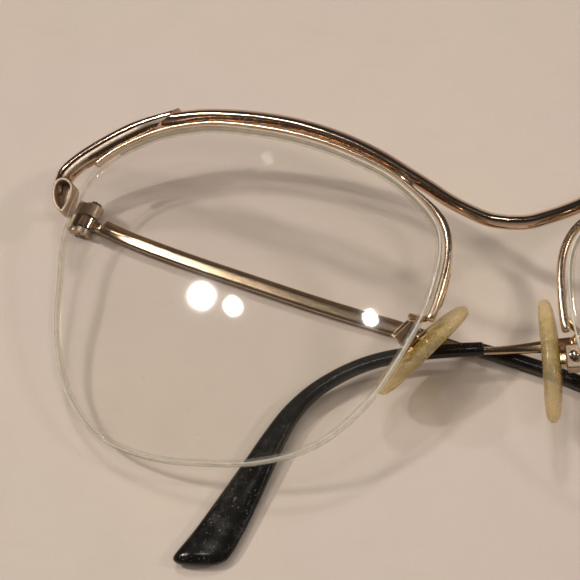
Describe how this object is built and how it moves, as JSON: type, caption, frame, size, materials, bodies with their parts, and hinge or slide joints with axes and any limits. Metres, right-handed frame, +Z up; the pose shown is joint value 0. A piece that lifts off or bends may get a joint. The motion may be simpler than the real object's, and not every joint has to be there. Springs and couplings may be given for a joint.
{
  "type": "half rim eyeglasses",
  "caption": "Folded half rim eyeglasses: metal brow bar and bridge, nylon-cord lenses, rocking nose pads, and hinged temples with black plastic tips.",
  "frame": {"origin": "on the table under the middle of the folded glasses' bounding box", "axes": "+Z up from the table, +X towards the wearer's left end of the brow bar, +Y towards the top of the frame front"},
  "size_m": [0.1342, 0.0632, 0.0173],
  "materials": {
    "polished_metal": "polished rose-gold plating, slightly worn",
    "satin_metal": "cross-brushed rose-gold plating",
    "gold_metal": "worn yellow-gold plating",
    "screw_steel": "plain steel",
    "lens_glass": "clear, polished",
    "nylon": "clear nylon",
    "pad_plastic": "yellowed translucent plastic",
    "black_acetate": "black, semi-gloss, scuffed and dusty"
  },
  "bodies": {
    "front": {"brow_bar": "polished_metal", "corner_piece_L": "satin_metal", "corner_piece_R": "satin_metal", "end_piece_L": "polished_metal", "end_piece_R": "polished_metal", "half_rim_L": "gold_metal", "half_rim_R": "gold_metal", "hinge_front_L": "polished_metal", "hinge_front_R": "polished_metal", "hinge_screw_L": "screw_steel", "hinge_screw_R": "screw_steel", "lens_L": "lens_glass", "lens_R": "lens_glass", "nylon_cord_L": "nylon", "nylon_cord_R": "nylon", "pad_arm_L": "gold_metal", "pad_arm_R": "gold_metal", "pad_screw_L": "screw_steel", "pad_screw_R": "screw_steel", "rim_liner_L": "nylon", "rim_liner_R": "nylon"},
    "temple_right": {"temple_R": "polished_metal", "temple_tip_R": "black_acetate", "hinge_temple_R": "polished_metal"},
    "temple_left": {"temple_L": "polished_metal", "temple_tip_L": "black_acetate", "hinge_temple_L": "polished_metal"},
    "pad_right": {"nose_pad_R": "pad_plastic", "pad_insert_R": "gold_metal"},
    "pad_left": {"nose_pad_L": "pad_plastic", "pad_insert_L": "gold_metal"}
  },
  "joints": [
    {"name": "temple_fold_R", "type": "hinge", "parent": "front", "child": "temple_right", "pos_m": [-0.0635, 0.01856, 0.00176], "axis": [0.2317, 0.9677, 0.0991], "range_deg": [0, 95]},
    {"name": "temple_fold_L", "type": "hinge", "parent": "front", "child": "temple_left", "pos_m": [0.0635, 0.01856, 0.00176], "axis": [0.2633, -0.9645, -0.0198], "range_deg": [0, 90]},
    {"name": "pad_rock_R", "type": "hinge", "parent": "front", "child": "pad_right", "pos_m": [-0.01183, 0.00038, 0.00941], "axis": [-0.3496, 0.5004, -0.792], "range_deg": [-5, 5]},
    {"name": "pad_rock_L", "type": "hinge", "parent": "front", "child": "pad_left", "pos_m": [0.00971, -0.00122, 0.00937], "axis": [-0.05, -0.2452, 0.9682], "range_deg": [-5, 5]}
  ],
  "couplings": [
    {"joint": "temple_fold_L", "follows": "temple_fold_R", "ratio": 0.94}
  ]
}
